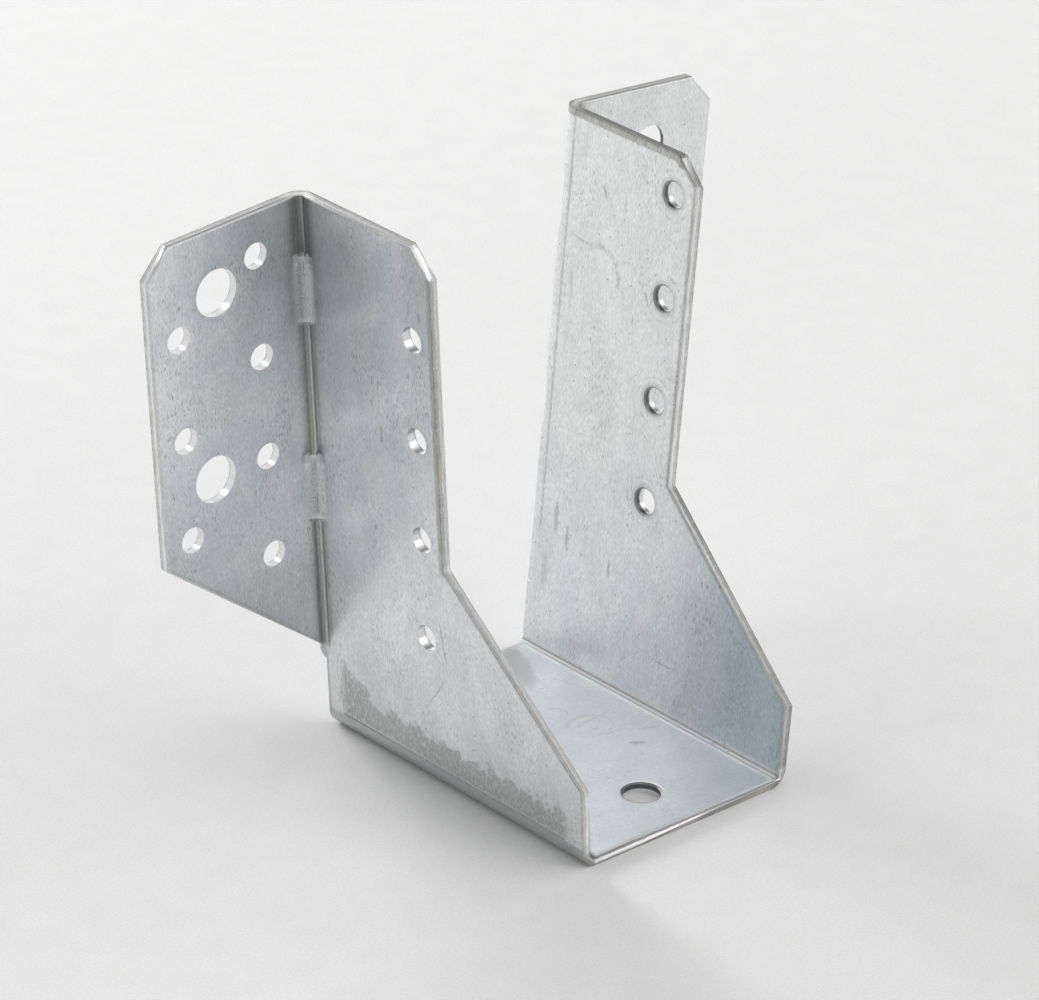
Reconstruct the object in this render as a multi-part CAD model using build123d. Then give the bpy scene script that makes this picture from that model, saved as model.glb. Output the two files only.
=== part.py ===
from build123d import *
from math import radians, sqrt, tan
import os

# A joist hanger folded from one blank of galvanised sheet steel. It is a U: a seat and two side walls, with a flange
# turned outwards at the rear of each wall. X runs across the seat, +Y points to the rear, where the flanges lie on
# the header, and +Z is up. The origin is on the floor under the middle of the footprint.

# Sheet and folds, in millimetres and degrees
sheet = 2.0                # thickness of the blank
seat_bend = 1.5            # inner radius where a wall rises from the seat
flange_bend = 1.6          # inner radius where a flange turns off its wall
wall_lean = 4.35           # each wall leans out from the upright

# Seat
seat_width = 45.0          # clear width between the walls at the seat
seat_depth = 71.5          # front edge of the seat to the rear face of the flanges
seat_hole_bore = 7.0
seat_hole_in = 11.6        # from the front edge of the seat

# Side walls, with heights measured along the wall from the underside of the seat
wall_height = 109.0
strip_depth = 36.5         # depth of the upper strip, from the rear face of the flanges
strip_corner = 5.0         # the strip's cut top corner, each way
slope_top = 46.2           # where the front edge starts to run forward
slope_foot = 15.8          # where it meets the short upright edge over the seat's front

# Flanges
flange_reach = 34.5        # outer face of the wall to the flange's outer edge
flange_corner = 5.2        # the flange's cut top corner, each way
flange_low_outer = 46.3    # height of the lower edge at the outer edge
flange_low_inner = 16.8    # height of the lower edge at the wall
low_corner_round = 0.8     # rounding of the flange's lowest outer corner
rear_setback = 2.0         # below the flanges, the rear edge stands this far in front of their rear face
relief_round = 2.6         # radius that joins this rear edge to the flange's lower edge

# Nail holes, in lines at one pitch, each line measured down from the top edge to its highest hole
nail_bore = 5.0
nail_pitch = 20.0
inner_nails_out = 10.5     # flange line near the wall, from the wall's outer face
inner_nails_down = 8.4
inner_nail_count = 4
outer_nails_in = 6.0       # flange line near the outer edge, from that edge, half a pitch lower than the inner line
outer_nail_count = 3
wall_nails_in = 5.4        # wall line, from the strip's front edge
wall_nail_count = 4
left_nails_down = 18.3
right_nails_down = 7.8     # the two walls' holes are staggered, so that their nails pass each other

# Bolt holes of a flange: distance out from the wall's outer face, and down from the top edge
bolt_bore = 9.0
high_bolt_out = 19.6
high_bolt_down = 12.3
low_bolt_out = 22.5
low_bolt_down = 48.4

# Gussets pressed across each flange bend
gusset_leg = 2.9           # how far the hollow facet reaches along the flange and along the wall
gusset_length = 13.0
gusset_run = 1.3           # height of the slope at each end of the facet
gusset_down = 18.2         # middle of the upper gusset, from the top edge
gusset_pitch = 40.0
gusset_count = 2
dent_depth = 0.4           # the punch's dent on the outside of the bend
dent_length = 7.0          # stretch at full depth
dent_run = 3.5             # stretch over which the dent fades out, at each end

# Sheared edges
edge_roll = 0.4            # rounding where the shear entered the sheet
hole_ease = 0.25           # the slight flare where the punch entered at a hole

# Values that follow
lean = radians(wall_lean)
seat_crown = seat_bend + sheet
flange_crown = flange_bend + sheet
half_width = seat_width / 2 + sheet
bend_run = seat_crown * tan((radians(90) - lean) / 2)
rear = seat_depth / 2
front = rear - seat_depth
low_rear = rear - rear_setback
strip_front = rear - strip_depth
flange_face = rear - sheet
bend_axis = (flange_bend, flange_face - flange_bend)
relief_foot = flange_low_inner - sqrt(relief_round**2 - (relief_round - rear_setback) ** 2)
clear = 10 * sheet         # reach of a cutter past the sheet
near = 0.01                # how close to its place an edge is picked


def punch(bore):
    """Cutter for a hole through the sheet. The punch enters at z = 0, where it eases the rim, and goes down."""
    radius = bore / 2
    profile = Polyline(
        (0, -clear),
        (radius, -clear),
        (radius, -hole_ease),
        (radius + hole_ease, 0),
        (radius + hole_ease, clear),
        (0, clear),
        close=True,
    )
    return revolve(Plane.XZ * make_face(profile), Axis.Z)


def wall_section():
    """Plan section of wall, bend and flange, with x measured outwards from the wall's outer face."""
    wall = Pos(-sheet / 2, (front + rear) / 2) * Rectangle(sheet, seat_depth)
    flange = Pos((flange_reach - sheet) / 2, rear - sheet / 2) * Rectangle(flange_reach + sheet, sheet)
    section = wall + flange
    hollow = section.vertices().sort_by_distance((0, flange_face))[0]
    section = fillet(hollow, flange_bend)
    crown = section.vertices().sort_by_distance((-sheet, rear))[0]
    return fillet(crown, flange_crown)


def wall_outline():
    """Side view of a wall, y and z, with the relief under the flange."""
    edge = Line((low_rear, bend_run), (low_rear, relief_foot))
    turn = RadiusArc(edge @ 1, (rear, flange_low_inner), -relief_round)
    rest = Polyline(
        turn @ 1,
        (rear, wall_height),
        (strip_front + strip_corner, wall_height),
        (strip_front, wall_height - strip_corner),
        (strip_front, slope_top),
        (front, slope_foot),
        (front, bend_run),
        edge @ 0,
    )
    return make_face(Wire([edge, turn] + rest.edges()))


def flange_outline():
    """Front view of a flange, x and z, open over the whole wall behind it."""
    outline = Polyline(
        (-clear, 0),
        (0, 0),
        (0, flange_low_inner),
        (flange_reach, flange_low_outer),
        (flange_reach, wall_height - flange_corner),
        (flange_reach - flange_corner, wall_height),
        (-clear, wall_height),
        close=True,
    )
    face = make_face(outline)
    corner = face.vertices().sort_by_distance((flange_reach, flange_low_outer))[0]
    return fillet(corner, low_corner_round)


def gusset(height):
    """The facet pressed into the hollow side of a flange bend: a hollow bar across the corner with sloping ends."""
    corner = (0, flange_face)
    along_flange = (gusset_leg, flange_face)
    along_wall = (0, flange_face - gusset_leg)
    facet = RadiusArc(along_wall, along_flange, gusset_leg)
    web = make_face(Wire([Line(corner, along_wall), facet, Line(along_flange, corner)]))
    bar = Pos(0, 0, height) * extrude(web, gusset_length, both=True)
    reach = gusset_leg / sqrt(2)
    low = -gusset_length / 2
    side = Polyline(
        (-reach, low - gusset_run),
        (0, low - gusset_run),
        (reach, low),
        (reach, -low),
        (0, gusset_run - low),
        (-reach, gusset_run - low),
        close=True,
    )
    plane = Plane(origin=(*corner, height), x_dir=(1, -1, 0), z_dir=(1, 1, 0))
    return bar & extrude(plane * make_face(side), gusset_leg, both=True)


def gusset_dent(height):
    """The punch's dent on the outside of the bend: flat across the crown, and fading out along it at both ends."""
    floor = flange_crown - dent_depth
    flat = dent_length / 2
    end = flat + dent_run
    ease = flat + dent_run / 2
    fade_in = Bezier((flange_crown, -end), (flange_crown, -ease), (floor, -ease), (floor, -flat))
    fade_out = Bezier((floor, flat), (floor, ease), (flange_crown, ease), (flange_crown, end))
    back = Polyline(fade_out @ 1, (2 * flange_crown, end), (2 * flange_crown, -end), fade_in @ 0)
    side = make_face(Wire([fade_in, Line(fade_in @ 1, fade_out @ 0), fade_out] + back.edges()))
    plane = Plane(origin=(*bend_axis, height), x_dir=(-1, 1, 0), z_dir=(1, 1, 0))
    return extrude(plane * side, flange_crown, both=True)


def on_wall_front(spot):
    """True on the inner rim of a wall's front edge, from the seat's fold up to the cut top corner."""
    return abs(spot.X + sheet) < near and spot.Y < strip_front + strip_corner and spot.Z > bend_run + near


def on_top(spot):
    """True on the outer rim of the top edge, over wall, bend and flange."""
    return spot.Z > wall_height - near and spot.X > -near and spot.Y < flange_face + near


def on_flange(spot):
    """True on the front rim of the flange's outline."""
    return abs(spot.Y - flange_face) < near and spot.X > flange_bend + near


def on_seat_ends(spot):
    """True on the upper rim of the seat and of both folds, at the front and at the rear."""
    at_end = min(abs(spot.Y - front), abs(spot.Y - low_rear)) < near
    return at_end and spot.Z > sheet - near and abs(spot.X) < half_width - seat_crown / 2


def rolled(body, tests):
    """The body with the rims rounded that a test picks by their middle: there the shear entered the sheet."""
    rims = [edge for edge in body.edges() if any(test(edge.center()) for test in tests)]
    return fillet(rims, edge_roll)


def nail_line(place, down, count):
    """Centres of a vertical line of nail holes."""
    return [(place, wall_height - down - nail_pitch * step) for step in range(count)]


def upright_side(nails_down):
    """Wall, bend and flange of the right side, before the wall leans out."""
    corner = (Align.MIN, Align.MIN, Align.MIN)
    flat_foot = Pos(-sheet, front, 0) * Box(sheet, seat_depth, relief_foot, align=corner)
    side = extrude(wall_section(), wall_height) + flat_foot
    side &= extrude(Plane.YZ * wall_outline(), 2 * flange_reach, both=True)
    side &= extrude(Plane.XZ * flange_outline(), seat_depth, both=True)
    side = rolled(side, (on_wall_front, on_top, on_flange))
    for step in range(gusset_count):
        height = wall_height - gusset_down - gusset_pitch * step
        side = side + gusset(height) - gusset_dent(height)
    for place, height in nail_line(strip_front + wall_nails_in, nails_down, wall_nail_count):
        side -= Plane(origin=(-sheet, place, height), z_dir=(-1, 0, 0)) * punch(nail_bore)
    nails = nail_line(inner_nails_out, inner_nails_down, inner_nail_count)
    nails += nail_line(flange_reach - outer_nails_in, inner_nails_down + nail_pitch / 2, outer_nail_count)
    for out, height in nails:
        side -= Plane(origin=(out, rear, height), z_dir=(0, 1, 0)) * punch(nail_bore)
    for out, down in ((high_bolt_out, high_bolt_down), (low_bolt_out, low_bolt_down)):
        side -= Plane(origin=(out, rear, wall_height - down), z_dir=(0, 1, 0)) * punch(bolt_bore)
    return side


def seat_and_bends():
    """Seat with the fold of each wall, as one section run from the front edge to the rear edge."""
    flat = half_width - bend_run
    section = Rectangle(2 * flat, sheet, align=(Align.CENTER, Align.MIN))
    for hand in (1, -1):
        centre = (hand * flat, seat_crown)
        start = -90 if hand > 0 else -180 + wall_lean
        ring = [CenterArc(centre, radius, start, 90 - wall_lean) for radius in (seat_bend, seat_crown)]
        ends = [Line(ring[0] @ side, ring[1] @ side) for side in (0, 1)]
        section += make_face(Wire(ring + ends))
    seat = rolled(extrude(Plane.XZ.offset(-low_rear) * section, low_rear - front), [on_seat_ends])
    return seat - Pos(0, front + seat_hole_in, sheet) * punch(seat_hole_bore)


def hanger():
    """The whole folded sheet, as one solid."""
    right = Pos(half_width, 0, 0) * Rot(0, wall_lean, 0) * upright_side(right_nails_down)
    left = mirror(Pos(half_width, 0, 0) * Rot(0, wall_lean, 0) * upright_side(left_nails_down), about=Plane.YZ)
    return seat_and_bends() + right + left


part = hanger()
os.makedirs("parts", exist_ok=True)
export_step(part, "parts/joist_hanger.step")
print("solids", len(part.solids()), "faces", len(part.faces()), "volume", round(part.volume, 1))
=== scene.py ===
import bpy
import math
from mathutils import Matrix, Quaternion, Vector


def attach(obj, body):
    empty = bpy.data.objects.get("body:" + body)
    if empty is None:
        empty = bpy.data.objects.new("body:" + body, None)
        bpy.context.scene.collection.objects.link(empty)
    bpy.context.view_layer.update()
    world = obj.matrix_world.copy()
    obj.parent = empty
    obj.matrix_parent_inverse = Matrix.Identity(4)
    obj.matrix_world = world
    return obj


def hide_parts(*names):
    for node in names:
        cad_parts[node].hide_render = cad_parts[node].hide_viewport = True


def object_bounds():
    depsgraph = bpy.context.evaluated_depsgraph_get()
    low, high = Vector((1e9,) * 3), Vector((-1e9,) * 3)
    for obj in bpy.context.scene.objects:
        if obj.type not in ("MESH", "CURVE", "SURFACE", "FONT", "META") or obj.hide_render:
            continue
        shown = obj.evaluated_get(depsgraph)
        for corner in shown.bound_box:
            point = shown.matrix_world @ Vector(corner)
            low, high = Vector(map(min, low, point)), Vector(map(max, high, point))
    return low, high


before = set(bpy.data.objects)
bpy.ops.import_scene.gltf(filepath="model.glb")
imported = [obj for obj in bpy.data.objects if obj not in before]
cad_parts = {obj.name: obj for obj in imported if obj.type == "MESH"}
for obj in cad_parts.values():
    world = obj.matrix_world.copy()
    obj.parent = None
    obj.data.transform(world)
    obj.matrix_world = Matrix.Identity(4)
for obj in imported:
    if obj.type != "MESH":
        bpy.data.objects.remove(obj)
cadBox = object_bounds()
print("frame loaded")

mm = 0.001

# The folded blank, with the sizes that the part's source gives it
blank = {
    "node": "joist_hanger",
    "sheet": 2.0 * mm,
    "seatBend": 1.5 * mm,
    "flangeBend": 1.6 * mm,
    "wallLean": math.radians(4.35),
    "seatWidth": 45.0 * mm,
    "gussetDepth": 0.03 * mm,           # a face this far inside the hollow of a bend belongs to a gusset
    "holeWall": 0.3 * mm,               # faces this near a hole's radius belong to its wall
    "frontReach": 5.0 * mm,             # the edges sheared from inside lie ahead of this
    "edgeTurn": 0.3,                    # how far a face must look forward or back to be such an edge
    "skinTurn": 0.55,                   # faces that look less through the sheet than this are cut ones
    "topTurn": 0.95,
    "smoothAngle": math.radians(35),
}

# The cut outline and the holes on the flat blank, in millimetres.
# Heights go up the wall from the seat's underside.
outline = {
    "stripFront": -0.75,
    "stripCorner": 5.0,
    "slopeTop": 46.2,
    "front": -35.75,
    "slopeFoot": 15.8,
    "top": 109.0,
    "lowRear": 33.75,
    "flangeReach": 34.5,
    "flangeCorner": 5.2,
    "flangeLowOuter": 46.3,
    "flangeLowInner": 16.8,
}
holes = {
    "nailRadius": 2.5,
    "pitch": 20.0,
    "wallLine": 4.65,
    "leftWallTop": 90.7,
    "rightWallTop": 101.2,
    "innerLineOut": 10.5,
    "innerLineTop": 100.6,
    "outerLineOut": 28.5,
    "outerLineTop": 90.6,
    "boltRadius": 4.5,
    "bolts": ((19.6, 96.7), (22.5, 60.6)),
    "seatHole": (-24.15, 3.5),
}

rear = cadBox[1].y
halfWidth = blank["seatWidth"] / 2 + blank["sheet"]
seatCrown = blank["seatBend"] + blank["sheet"]
foldTurn = math.pi / 2 - blank["wallLean"]
bendRun = seatCrown * math.tan(foldTurn / 2)
flatEnd = halfWidth - bendRun
flangeFace = rear - blank["sheet"]
bendY = flangeFace - blank["flangeBend"]
wallStart = flatEnd + (blank["seatBend"] + blank["sheet"] / 2) * foldTurn - bendRun
flangeStart = bendY + (blank["flangeBend"] + blank["sheet"] / 2) * math.pi / 2 - blank["flangeBend"]


def selectOnly(piece):
    bpy.ops.object.select_all(action="DESELECT")
    piece.select_set(True)
    bpy.context.view_layer.objects.active = piece


# Where a point of the sheet lies on the flat blank: along Y, across, into the sheet from its outer skin,
# and the direction through the sheet there
def onBlank(point):
    hand = 1 if point.x >= 0 else -1
    lean = blank["wallLean"]
    side = abs(point.x) - halfWidth
    out = side * math.cos(lean) - point.z * math.sin(lean)
    up = side * math.sin(lean) + point.z * math.cos(lean)
    outward = Vector((math.cos(lean) * hand, 0, -math.sin(lean)))
    if abs(point.x) <= flatEnd and point.z < seatCrown:
        return point.y, point.x, point.z, Vector((0, 0, 1))
    turn = math.atan2(abs(point.x) - flatEnd, seatCrown - point.z)
    if turn < foldTurn:
        arm = Vector((hand * (abs(point.x) - flatEnd), 0, point.z - seatCrown))
        across = flatEnd + (blank["seatBend"] + blank["sheet"] / 2) * turn
        return point.y, hand * across, seatCrown - arm.length, -arm.normalized()
    across = hand * (wallStart + up)
    if point.y <= bendY:
        return point.y, across, -out, -outward
    if out >= blank["flangeBend"]:
        return flangeStart + out, across, point.y - flangeFace, Vector((0, 1, 0))
    arm = Vector((out - blank["flangeBend"], point.y - bendY))
    turn = math.atan2(arm.y, -arm.x)
    along = bendY + (blank["flangeBend"] + blank["sheet"] / 2) * turn
    through = (outward * arm.x + Vector((0, 1, 0)) * arm.y).normalized()
    return along, across, arm.length - blank["flangeBend"], through


# A merged copy of the folded sheet, which keeps its form and takes smooth shading and the finish
def makeSheet():
    selectOnly(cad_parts[blank["node"]])
    bpy.ops.object.duplicate()
    piece = bpy.context.active_object
    piece.name = "hanger_sheet"
    for key in [k for k in piece.keys() if k.startswith("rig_")]:
        del piece[key]
    bpy.ops.object.mode_set(mode="EDIT")
    bpy.ops.mesh.select_all(action="SELECT")
    bpy.ops.mesh.remove_doubles(threshold=0.002 * mm)
    bpy.ops.mesh.dissolve_limited(angle_limit=math.radians(0.1))
    bpy.ops.object.mode_set(mode="OBJECT")
    piece.data.materials.clear()
    print("sheet merged", len(piece.data.polygons), "faces")
    return piece


# Centres and radii of the holes that a place on the blank could belong to: along, height, radius
def holesNear(along, across):
    if abs(across) < wallStart / mm:
        return [(holes["seatHole"][0], 0.0, holes["seatHole"][1])]
    start = flangeStart / mm
    if along < bendY / mm:
        top = holes["rightWallTop"] if across > 0 else holes["leftWallTop"]
        return [(holes["wallLine"], top - holes["pitch"] * k, holes["nailRadius"]) for k in range(4)]
    inner = [(start + holes["innerLineOut"], holes["innerLineTop"] - holes["pitch"] * k, holes["nailRadius"])
             for k in range(4)]
    outer = [(start + holes["outerLineOut"], holes["outerLineTop"] - holes["pitch"] * k, holes["nailRadius"])
             for k in range(3)]
    bolts = [(start + out, height, holes["boltRadius"]) for out, height in holes["bolts"]]
    return inner + outer + bolts


def onHoleWall(along, across):
    height = abs(across) - wallStart / mm if abs(across) > wallStart / mm else across
    gaps = [abs(math.hypot(along - u, height - h) - radius) for u, h, radius in holesNear(along, across)]
    return min(gaps) < blank["holeWall"] / mm


# The unfolded map in millimetres, the depth from the side that the shear entered, the skin (1 on the inside,
# 0 on the outside), and the finish of each face
def unfold(piece):
    mesh = piece.data
    mesh.uv_layers.new(name="blank")
    mesh.attributes.new("cut", "FLOAT", "CORNER")
    mesh.attributes.new("skin", "FLOAT", "CORNER")
    chart, cut, skin = mesh.uv_layers["blank"], mesh.attributes["cut"], mesh.attributes["skin"]
    for face in mesh.polygons:
        along, across, into, through = onBlank(face.center)
        facing = face.normal.dot(through)
        ahead = face.normal.y < -blank["edgeTurn"] and along < blank["frontReach"]
        behind = face.normal.y > blank["edgeTurn"] and abs(across) < wallStart
        frontEdge = ahead or behind
        if abs(facing) < blank["skinTurn"]:
            face.material_index = 1
            if onHoleWall(along / mm, across / mm):
                face.material_index = 2
                frontEdge = False
        if into < -blank["gussetDepth"] and face.normal.z < blank["topTurn"]:
            face.material_index = 0
        for loop in face.loop_indices:
            along, across, into, through = onBlank(mesh.vertices[mesh.loops[loop].vertex_index].co)
            chart.data[loop].uv = (along / mm, across / mm)
            cut.data[loop].value = (blank["sheet"] - into) / mm if frontEdge else into / mm
            skin.data[loop].value = 1 if facing > 0 else 0
    print("sheet unfolded")


def shadeSheet(piece):
    selectOnly(piece)
    bpy.ops.object.shade_smooth_by_angle(angle=blank["smoothAngle"])
    bpy.ops.object.modifier_add(type="WEIGHTED_NORMAL")
    piece.modifiers[-1].keep_sharp = True
    piece.modifiers[-1].weight = 100
    bpy.ops.object.modifier_apply(modifier=piece.modifiers[-1].name)


# Short names for the nodes of a material
def put(tree, kind, inputs=None, **settings):
    made = tree.nodes.new(kind)
    for key, value in settings.items():
        setattr(made, key, value)
    for socket, value in (inputs or {}).items():
        if isinstance(value, bpy.types.NodeSocket):
            tree.links.new(value, made.inputs[socket])
        else:
            made.inputs[socket].default_value = value
    return made


def calc(tree, operation, first, second=0.0, third=0.0):
    return put(tree, "ShaderNodeMath", {0: first, 1: second, 2: third}, operation=operation).outputs[0]


def onVectors(tree, operation, *values, result=0):
    return put(tree, "ShaderNodeVectorMath", dict(enumerate(values)), operation=operation).outputs[result]


# 1 where the mask is 0, and 0 where it is 1
def unless(tree, mask):
    return calc(tree, "SUBTRACT", 1.0, mask)


def between(tree, value, low, high, start=0.0, end=1.0, smooth=True):
    kind = "SMOOTHSTEP" if smooth else "LINEAR"
    sockets = {0: value, 1: low, 2: high, 3: start, 4: end}
    return put(tree, "ShaderNodeMapRange", sockets, interpolation_type=kind).outputs[0]


# Noise on the flat blank or floor. One feature is about size across, and stretch draws it long or thin.
def noise(tree, place, size, stretch=(1, 1), detail=2.0, rough=0.5, shift=0.0, distortion=0.0):
    moved = onVectors(tree, "MULTIPLY_ADD", place, (*stretch, 1), (shift, shift * 0.7, 0))
    sockets = {"Vector": moved, "Scale": 1 / size, "Detail": detail, "Roughness": rough,
               "Distortion": distortion}
    return put(tree, "ShaderNodeTexNoise", sockets, noise_dimensions="2D").outputs[0]


def tinted(tree, factor, first, second, mode="MIX"):
    made = put(tree, "ShaderNodeMix", {"Factor": factor}, data_type="RGBA", blend_type=mode)
    for socket, value in ((made.inputs[6], first), (made.inputs[7], second)):
        if isinstance(value, bpy.types.NodeSocket):
            tree.links.new(value, socket)
        else:
            socket.default_value = (*value, 1)
    return made.outputs[2]


def startMaterial(name):
    material = bpy.data.materials.new(name)
    material.use_nodes = True
    tree = material.node_tree
    return material, tree, tree.nodes["Principled BSDF"]


# The root of the sum of two squares
def diagonal(tree, side, rise):
    return calc(tree, "SQRT", calc(tree, "MULTIPLY_ADD", side, side, calc(tree, "MULTIPLY", rise, rise)))


# Signed distance from the line through two points of the blank, positive on its left
def leftOf(tree, along, height, first, second):
    run, rise = second[0] - first[0], second[1] - first[1]
    length = math.hypot(run, rise)
    part = calc(tree, "MULTIPLY_ADD", along, -rise / length, (rise * first[0] - run * first[1]) / length)
    return calc(tree, "MULTIPLY_ADD", height, run / length, part)


def least(tree, first, *others):
    for other in others:
        first = calc(tree, "MINIMUM", first, other)
    return first


# How far a place is from the cut outline of the blank
def fromOutline(tree, along, height):
    start = flangeStart / mm
    o = outline
    slope = leftOf(tree, along, height, (o["stripFront"], o["slopeTop"]), (o["front"], o["slopeFoot"]))
    nose = calc(tree, "MINIMUM", slope, calc(tree, "SUBTRACT", along, o["front"]))
    ahead = calc(tree, "MAXIMUM", nose, calc(tree, "SUBTRACT", along, o["stripFront"]))
    cornerTop = (o["stripFront"] + o["stripCorner"], o["top"])
    corner = leftOf(tree, along, height, cornerTop, (o["stripFront"], o["top"] - o["stripCorner"]))
    edge = start + o["flangeReach"]
    flangeCorner = leftOf(tree, along, height,
                          (edge, o["top"] - o["flangeCorner"]), (edge - o["flangeCorner"], o["top"]))
    low = leftOf(tree, along, height, (start, o["flangeLowInner"]), (edge, o["flangeLowOuter"]))
    behind = calc(tree, "MAXIMUM", low, calc(tree, "SUBTRACT", o["lowRear"], along))
    return least(tree, ahead, corner, calc(tree, "SUBTRACT", o["top"], height), flangeCorner,
                 calc(tree, "SUBTRACT", edge, along), behind)


# How far a place is from the centre of the nearest hole of an upright line of holes
def fromLine(tree, along, height, line, top, count):
    down = calc(tree, "SUBTRACT", top, height)
    step = calc(tree, "WRAP", down, holes["pitch"] / 2, -holes["pitch"] / 2)
    fromMiddle = calc(tree, "ABSOLUTE", calc(tree, "SUBTRACT", down, holes["pitch"] * (count - 1) / 2))
    beyond = calc(tree, "GREATER_THAN", fromMiddle, holes["pitch"] * count / 2)
    return calc(tree, "MULTIPLY_ADD", beyond, holes["pitch"], fromPoint(tree, along, step, line, 0))


def fromPoint(tree, along, height, atAlong, atHeight):
    return diagonal(tree, calc(tree, "SUBTRACT", along, atAlong), calc(tree, "SUBTRACT", height, atHeight))


# The places on the blank that the finishes of the sheet are laid out by
def layOut(tree):
    place = put(tree, "ShaderNodeUVMap", uv_map="blank").outputs[0]
    split = put(tree, "ShaderNodeSeparateXYZ", {0: place})
    along, across = split.outputs[0], split.outputs[1]
    skin = put(tree, "ShaderNodeAttribute", attribute_name="skin").outputs["Fac"]
    height = calc(tree, "SUBTRACT", calc(tree, "ABSOLUTE", across), wallStart / mm)
    gap = put(tree, "ShaderNodeCombineXYZ", {0: calc(tree, "MULTIPLY", skin, 300.0)}).outputs[0]
    grainPlace = onVectors(tree, "ADD", place, gap)
    sockets = {"Vector": place, "Scale": 0.9, "Detail": 2.0}
    wander = put(tree, "ShaderNodeTexNoise", sockets, noise_dimensions="2D").outputs["Color"]
    pushed = onVectors(tree, "SUBTRACT", wander, (0.5, 0.5, 0.5))
    uneven = onVectors(tree, "MULTIPLY_ADD", pushed, (0.8, 0.8, 0), place)
    unevenSplit = put(tree, "ShaderNodeSeparateXYZ", {0: uneven})
    right = calc(tree, "GREATER_THAN", across, 0.0)
    higher = holes["rightWallTop"] - holes["leftWallTop"]
    top = calc(tree, "MULTIPLY_ADD", right, higher, holes["leftWallTop"])
    wallNail = fromLine(tree, along, height, holes["wallLine"], top, 4)
    start = flangeStart / mm
    innerNail = fromLine(tree, along, height, start + holes["innerLineOut"], holes["innerLineTop"], 4)
    outerNail = fromLine(tree, along, height, start + holes["outerLineOut"], holes["outerLineTop"], 3)
    nail = calc(tree, "SUBTRACT", least(tree, wallNail, innerNail, outerNail), holes["nailRadius"])
    bolts = [fromPoint(tree, along, height, start + out, up) for out, up in holes["bolts"]]
    bolt = calc(tree, "SUBTRACT", least(tree, *bolts), holes["boltRadius"])
    seatAlong, seatRadius = holes["seatHole"]
    seat = calc(tree, "SUBTRACT", fromPoint(tree, along, across, seatAlong, 0.0), seatRadius)
    return {
        "place": place, "along": along, "across": across, "skin": skin, "height": height, "grain": grainPlace,
        "right": right, "rim": fromOutline(tree, along, height), "hole": least(tree, nail, bolt, seat),
        "wallNail": wallNail, "uneven": (unevenSplit.outputs[0], unevenSplit.outputs[1]),
    }


def grey(tree, value):
    return put(tree, "ShaderNodeCombineColor", {0: value, 1: value, 2: value}).outputs[0]


def times(tree, first, *others):
    for other in others:
        first = calc(tree, "MULTIPLY", first, other)
    return first


def most(tree, first, *others):
    for other in others:
        first = calc(tree, "MAXIMUM", first, other)
    return first


# 1 inside a band of the given half width round a value, with soft edges
def band(tree, value, middle, half, soft):
    gap = calc(tree, "ABSOLUTE", calc(tree, "SUBTRACT", value, middle))
    return between(tree, gap, half, half + soft, 1, 0)


def nearHeight(tree, at, middle, half, soft):
    return band(tree, at["height"], middle, half, soft)


def nearAlong(tree, at, middle, half, soft):
    return band(tree, at["along"], middle, half, soft)


# A value that changes from start to end between two heights on the blank, or two places along it
def byHeight(tree, at, low, high, start=0.0, end=1.0):
    return between(tree, at["height"], low, high, start, end)


def byAlong(tree, at, low, high, start=0.0, end=1.0):
    return between(tree, at["along"], low, high, start, end)


# An uneven stroke from one place of the blank to another
def stroke(tree, at, start, end, width):
    run, rise = end[0] - start[0], end[1] - start[1]
    middle = ((start[0] + end[0]) / 2, (start[1] + end[1]) / 2)
    beside = leftOf(tree, *at["uneven"], start, end)
    beyond = leftOf(tree, *at["uneven"], middle, (middle[0] + rise, middle[1] - run))
    fromMiddle = diagonal(tree, times(tree, beyond, 2 / math.hypot(run, rise)), times(tree, beside, 2 / width))
    return between(tree, fromMiddle, 0.55, 1.1, 1, 0)


# An uneven arc of a circle on the blank, kept on the side that it is told to bulge toward
def arc(tree, at, centre, radius, width, toward):
    beyond = (centre[0] + toward[1], centre[1] - toward[0])
    side = leftOf(tree, *at["uneven"], centre, beyond)
    return times(tree, band(tree, fromPoint(tree, *at["uneven"], *centre), radius, width / 4, width / 2),
                 between(tree, side, 0.25 * radius, 0.5 * radius))


zinc = {
    "colour": (0.757, 0.79, 0.818),
    "green": (0.771, 0.798, 0.807),
    "violet": (0.776, 0.781, 0.82),
    # painted light, as a paler tone
    "pale": (0.875, 0.887, 0.882),
    # the colour of scuffs and marks, and also of painted shade in creases, at rims and down folds
    "scuffAndShade": (0.27, 0.28, 0.275),
    # the colour of the painted shade where the skin rolls over at a rim
    "olive": (0.43, 0.43, 0.39),
    "dull": (0.41, 0.42, 0.4),
    "noseShade": (0.79, 0.845, 0.87),
    # painted shade round the rim of the seat's hole
    "seatHoleRim": (0.14, 0.145, 0.15),
    "roughness": 0.285,
    "anisotropy": 0.3,
    "grainWidth": 0.2,
    "strokeWidth": 0.3,
    "streakWidth": 0.6,
    "mottleSize": 1.1,
    "gritSize": 0.28,
    "crowdSize": 11.0,
    "tintSize": 9.0,
    "cloudSize": 7.0,
    "waveSize": 13.0,
    "waveHeight": 0.05,                 # heights in millimetres
    "grainHeight": 0.0006,
    "rollReach": 0.9,                   # over which the shear drew the skin in
    "rollHeight": 0.06,
    "rimBand": 1.0,                     # how far the painted shade of a rolled rim reaches
    "ringRadius": 4.6,
    "lowFold": 4.2,                     # height of the line scribed over the seat's fold
    "rightBend": 31.5,                  # where the right wall's inner skin starts to turn
}
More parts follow.
